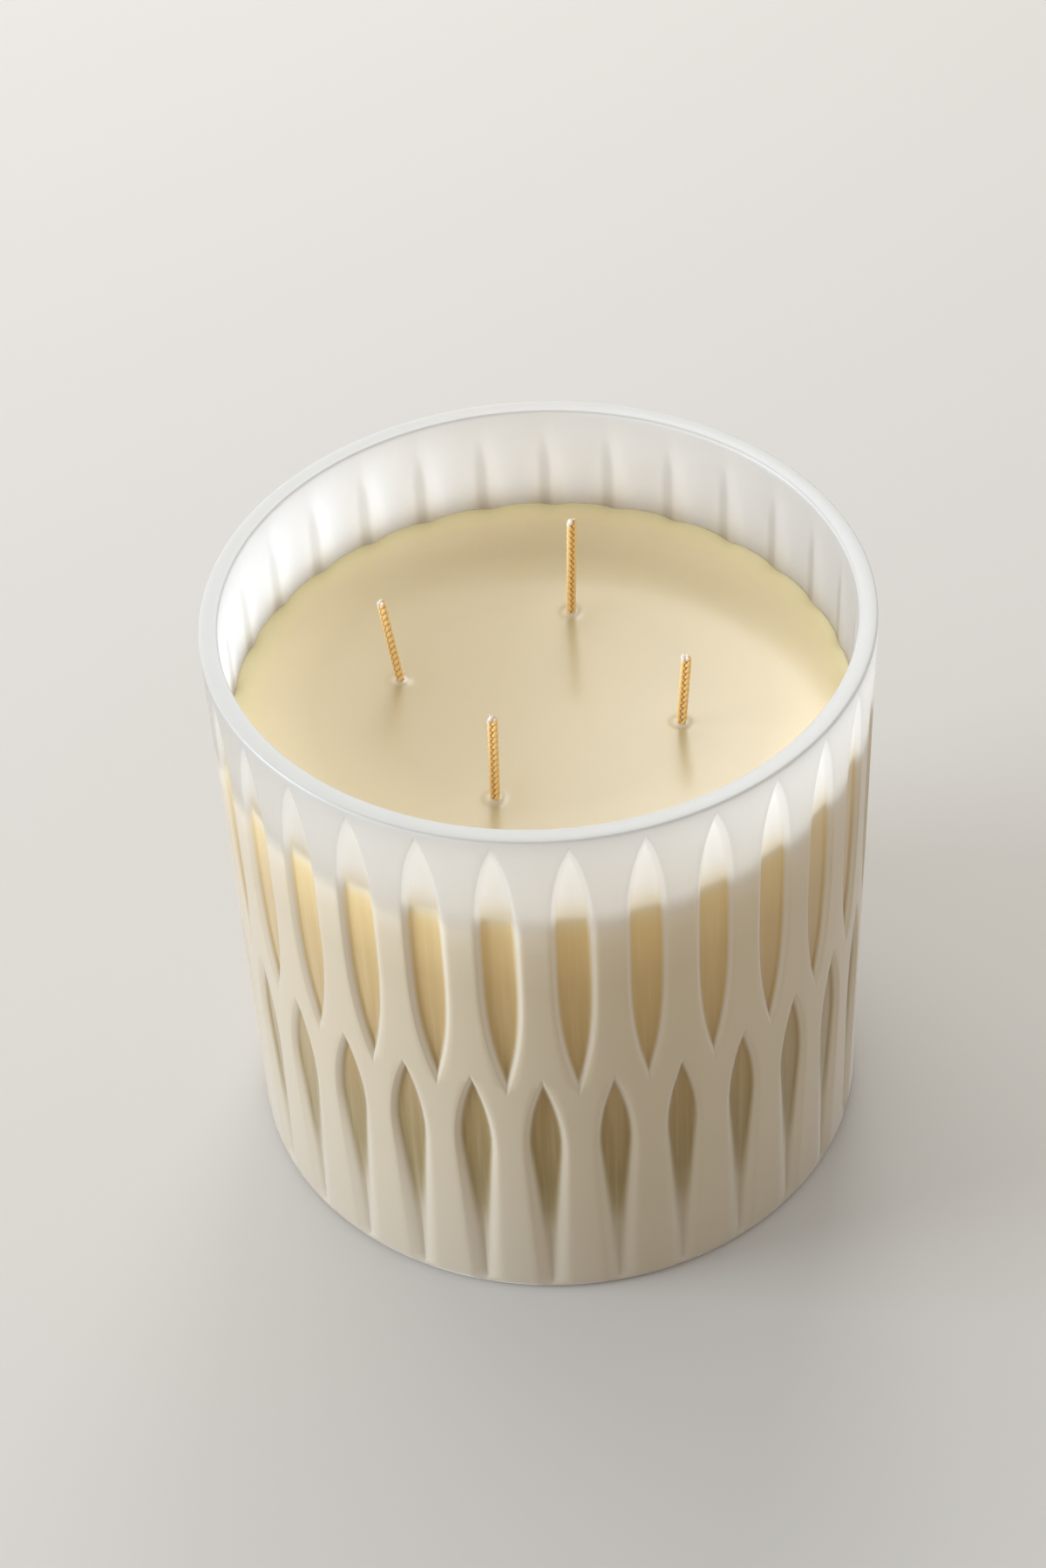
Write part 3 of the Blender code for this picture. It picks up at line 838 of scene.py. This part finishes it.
def wax_finish():
    finish = Finish("cream_wax")
    place = finish.object_place()
    flat = finish.stretched(place, (1.0, 1.0, 0.0))
    radius = finish.node("VectorMath", {"operation": "LENGTH"}, {0: flat}, "Value")
    stops = [(out * MM / RIM_RADIUS, colour) for out, colour in WAX_COLOURS_AND_EDGE_GLOW]
    colour = finish.node("ValToRGB", {"stops": stops}, {0: radius * (1 / RIM_RADIUS)})
    mottle = finish.rise(finish.noise(place, MOTTLE_SCALE), *MOTTLE_RANGE)
    colour = finish.mix(mottle * MOTTLE_SHARE, colour, WAX_PALE)
    # Painted highlight: the collar round each wick is painted paler.
    collar = finish.node("Attribute", {"attribute_name": "collar"}, {}, "Fac")
    colour = finish.mix(collar * COLLAR_HIGHLIGHT_SHARE, colour, COLLAR_HIGHLIGHT_COLOUR)
    ripple = finish.noise(place, RIPPLE_SCALE)
    relief = finish.bump(finish.noise(place, PORE_SCALE), 1.0, PORE_DEPTH)
    sockets = {"Base Color": colour, "Roughness": 0.24 + ripple * 0.03, "Normal": relief,
               "Subsurface Weight": 0.5, "Subsurface Radius": (1.0, 0.72, 0.38), "Subsurface Scale": 0.006}
    return finish.surface(finish.node("BsdfPrincipled", {}, sockets))


wax.data.materials.append(wax_finish())
print("wax finish:", len(wax.data.materials[0].node_tree.nodes), "nodes")

# %% [markdown]
# ## Braided wicks
# Each wick is a plait of cotton yarns soaked in wax, which shows a row of small chevrons. Three yarns swing
# from side to side, each a third of a turn behind the next, and dip in front of and behind one another, so
# each draws a slow figure of eight. Curves with a round bevel are the quickest way to draw yarns. A bundle of
# loose fibres stands out of the cut tip.

# %% Draw the yarns
YARNS = 3
YARN_RADIUS = 0.50 * MM
PLAIT_HALF_WIDTH = 0.69 * MM
PLAIT_HALF_DEPTH = 0.34 * MM
PLAIT_LENGTH = 5.1 * MM
STEPS_PER_MM = 4
PLAIT_DIP = 1.5 * MM
STEM_RADIUS = WICK_RADIUS * 0.9
FIBRE_RADIUS = 0.09 * MM
FIBRES = 22
FIBRE_ROOT, FIBRE_SPREAD = 1.0 * MM, 0.6 * MM
PALE_SIDE = 0.3 * MM
WICK_TURNS = {"front": 24, "right": 15, "back": -20, "left": 50}


def plait_place(yarn, along, turn):
    """Where a yarn runs across the wick at a distance along it: its place on its figure of eight."""
    phase = 2 * math.pi * (along / PLAIT_LENGTH + yarn / YARNS)
    wide = PLAIT_HALF_WIDTH * math.sin(phase)
    deep = PLAIT_HALF_DEPTH * math.sin(2 * phase)
    sine, cosine = math.sin(turn), math.cos(turn)
    return Vector((wide * cosine - deep * sine, wide * sine + deep * cosine))


def add_line(curve, places, radius):
    """A line of one thickness through the places. A curve's radius counts in bevel depths."""
    spline = curve.splines.new("POLY")
    spline.points.add(len(places) - 1)
    for point, place in zip(spline.points, places):
        point.co = (*place, 1.0)
        point.radius = radius / YARN_RADIUS


def wick_directions(base, tall, lean):
    """The foot of a wick, and the directions along it, across it and towards the front."""
    foot = Vector((base.x, base.y, WAX_TOP))
    ahead = Vector((lean, 0, tall)).normalized()
    across = Vector((0, 1, 0)).cross(ahead).normalized()
    return foot, ahead, across, across.cross(ahead)


def tip_fibre(tip, ahead, across, front):
    """Three places along a loose fibre that leaves the tip at a random side and bends outwards."""
    angle = random.uniform(0, 2 * math.pi)
    outward = (across * math.cos(angle) + front * math.sin(angle)) * random.uniform(0.2, 1.0)
    start = tip + outward * FIBRE_SPREAD - across * PALE_SIDE - ahead * FIBRE_ROOT
    middle = start + ahead * random.uniform(0.5, 1.0) * MM + outward * FIBRE_SPREAD / 2
    end = middle + outward * random.uniform(0.1, 0.4) * MM + ahead * random.uniform(-0.3, 0.25) * MM
    return [start, middle, end]


def wick_curve(side, base, tall, lean):
    """The stem in the wax, the yarns of the plait and the fibres at the tip, as lines with a thickness."""
    curve = bpy.data.curves.new("wick_" + side, "CURVE")
    curve.dimensions = "3D"
    curve.bevel_depth = YARN_RADIUS
    curve.bevel_resolution = 3
    curve.use_fill_caps = True
    foot, ahead, across, front = wick_directions(base, tall, lean)
    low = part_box("wick_" + side)[0].z
    add_line(curve, [Vector((base.x, base.y, low)), foot], STEM_RADIUS)
    turn = math.radians(WICK_TURNS[side])
    steps = round((tall + PLAIT_DIP) / MM * STEPS_PER_MM)
    for yarn in range(YARNS):
        points = []
        for i in range(steps + 1):
            along = (tall + PLAIT_DIP) * i / steps - PLAIT_DIP
            place = plait_place(yarn, along, turn)
            points.append(foot + ahead * along + across * place.x + front * place.y)
        add_line(curve, points, YARN_RADIUS)
    for _ in range(FIBRES):
        add_line(curve, tip_fibre(foot + ahead * tall, ahead, across, front), FIBRE_RADIUS)
    return curve


# %% Mark the yarns and make the wicks
CREASE_REACH = 0.55 * MM
TIP_ABOVE, TIP_FADE = 0.5 * MM, 1.6 * MM
WICK_WELD = 0.001 * MM


def crease(along, off, turn):
    """0 where a point of one yarn lies against another yarn, rising to 1 where it is free."""
    middles = [plait_place(yarn, along, turn) for yarn in range(YARNS)]
    nearest = sorted(abs((middle - off).length - YARN_RADIUS) for middle in middles)
    return min(nearest[1] / CREASE_REACH, 1.0)


def make_wick(side, base, tall, lean):
    """The wick as a mesh, with two marks: how free of the creases a point lies, for the painted shade in
    them, and how near the tip.
    """
    drawn = bpy.data.objects.new("drawn_" + side, wick_curve(side, base, tall, lean))
    bpy.context.scene.collection.objects.link(drawn)
    mesh = bpy.data.meshes.new_from_object(drawn.evaluated_get(bpy.context.evaluated_depsgraph_get()))
    bpy.data.objects.remove(drawn)
    bm = bmesh.new()
    bm.from_mesh(mesh)
    bmesh.ops.remove_doubles(bm, verts=bm.verts[:], dist=WICK_WELD)
    bmesh.ops.recalc_face_normals(bm, faces=bm.faces[:])
    marks = bm.verts.layers.float_vector.new("marks")
    foot, ahead, across, front = wick_directions(base, tall, lean)
    turn = math.radians(WICK_TURNS[side])
    for vert in bm.verts:
        away = vert.co - foot
        along = away.dot(ahead)
        free = crease(along, Vector((away.dot(across), away.dot(front))), turn)
        below_tip = tall - along + away.dot(across) + TIP_ABOVE
        vert[marks] = Vector((free, min(max(1 - below_tip / TIP_FADE, 0.0), 1.0), 0.0))
    return bm


random.seed(4)
wicks = {}
for side, (base, tall, lean) in WICKS.items():
    bm = make_wick(side, base, tall, lean)
    wicks[side] = new_piece("braided_wick_" + side, bm, "waxed_cotton", "wick_" + side)

# %% [markdown]
# ## Cotton finish
# Waxed cotton is amber on the crowns of the yarns. The grooves between them are painted brown, a painted
# shade where the yarns shadow one another. One side of the cut tip is dry and pale. Both come from the marks
# that were set on the mesh, and a fine noise breaks up the yarns into fibres. A thin coat stands for the wax
# film.

# %% Finish of the wicks
GROOVE_SHADE_COLOUR = (0.46, 0.18, 0.03)
YARN_COLOUR = (1.0, 0.67, 0.25)
TIP_COLOUR = (0.92, 0.82, 0.70)
COTTON_FIBRES = (5200.0, 5200.0, 2600.0)
YARN_BEGINS, TIP_BEGINS = (0.12, 0.75), (0.1, 0.8)
FIBRE_DEPTH = 0.1 * MM


def cotton_finish():
    finish = Finish("waxed_cotton")
    place = finish.object_place()
    free, tip, _ = finish.marks()
    fibres = finish.noise(finish.stretched(place, COTTON_FIBRES), 1.0, 3.0)
    colour = finish.mix(finish.rise(free + fibres * 0.4 - 0.2, *YARN_BEGINS), GROOVE_SHADE_COLOUR, YARN_COLOUR)
    colour = finish.mix(finish.rise(tip, *TIP_BEGINS), colour, TIP_COLOUR)
    sockets = {"Base Color": colour, "Roughness": 0.5 + fibres * 0.2, "Coat Weight": 0.25,
               "Coat Roughness": 0.3, "Normal": finish.bump(fibres, 0.6, FIBRE_DEPTH)}
    return finish.surface(finish.node("BsdfPrincipled", {}, sockets))


cotton = cotton_finish()
for piece in wicks.values():
    piece.data.materials.append(cotton)
print("wicks:", len(wicks))

# %% [markdown]
# ## Sustainers and pads
# The tinned discs that hold the wicks, and the adhesive pads under them, lie inside the wax. Their packed
# shapes are right, so they stay and only get a finish: rolled tin with fine scratches one way, and a white
# foam with small cells.

# %% Finish of the inner pieces
TIN_DARK, TIN_PALE = (0.58, 0.58, 0.57), (0.78, 0.78, 0.77)
TIN_SCRATCHES, SCRATCH_DEPTH = (4000.0, 120.0, 400.0), 0.05 * MM
FOAM_DARK, FOAM_PALE = (0.80, 0.80, 0.77), (0.90, 0.90, 0.88)
FOAM_CELLS, CELL_DEPTH = 1800.0, 0.2 * MM


def tin_finish():
    finish = Finish("tinned_steel")
    rolled = finish.noise(finish.stretched(finish.object_place(), TIN_SCRATCHES), 1.0, 3.0)
    colour = finish.mix(rolled, TIN_DARK, TIN_PALE)
    sockets = {"Base Color": colour, "Metallic": 1.0, "Roughness": 0.28 + rolled * 0.15,
               "Normal": finish.bump(rolled, 0.1, SCRATCH_DEPTH)}
    return finish.surface(finish.node("BsdfPrincipled", {}, sockets))


def foam_finish():
    finish = Finish("white_adhesive")
    cells = finish.noise(finish.object_place(), FOAM_CELLS, 3.0)
    colour = finish.mix(cells, FOAM_DARK, FOAM_PALE)
    relief = finish.bump(cells, 0.3, CELL_DEPTH)
    sockets = {"Base Color": colour, "Roughness": 0.6 + cells * 0.2, "Normal": relief}
    return finish.surface(finish.node("BsdfPrincipled", {}, sockets))


for prefix, finish in (("wick_sustainer_", tin_finish()), ("adhesive_pad_", foam_finish())):
    for side in WICKS:
        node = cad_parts[prefix + side]
        node.data.materials.clear()
        node.data.materials.append(finish)
print("inner pieces finished:", 2 * len(WICKS))
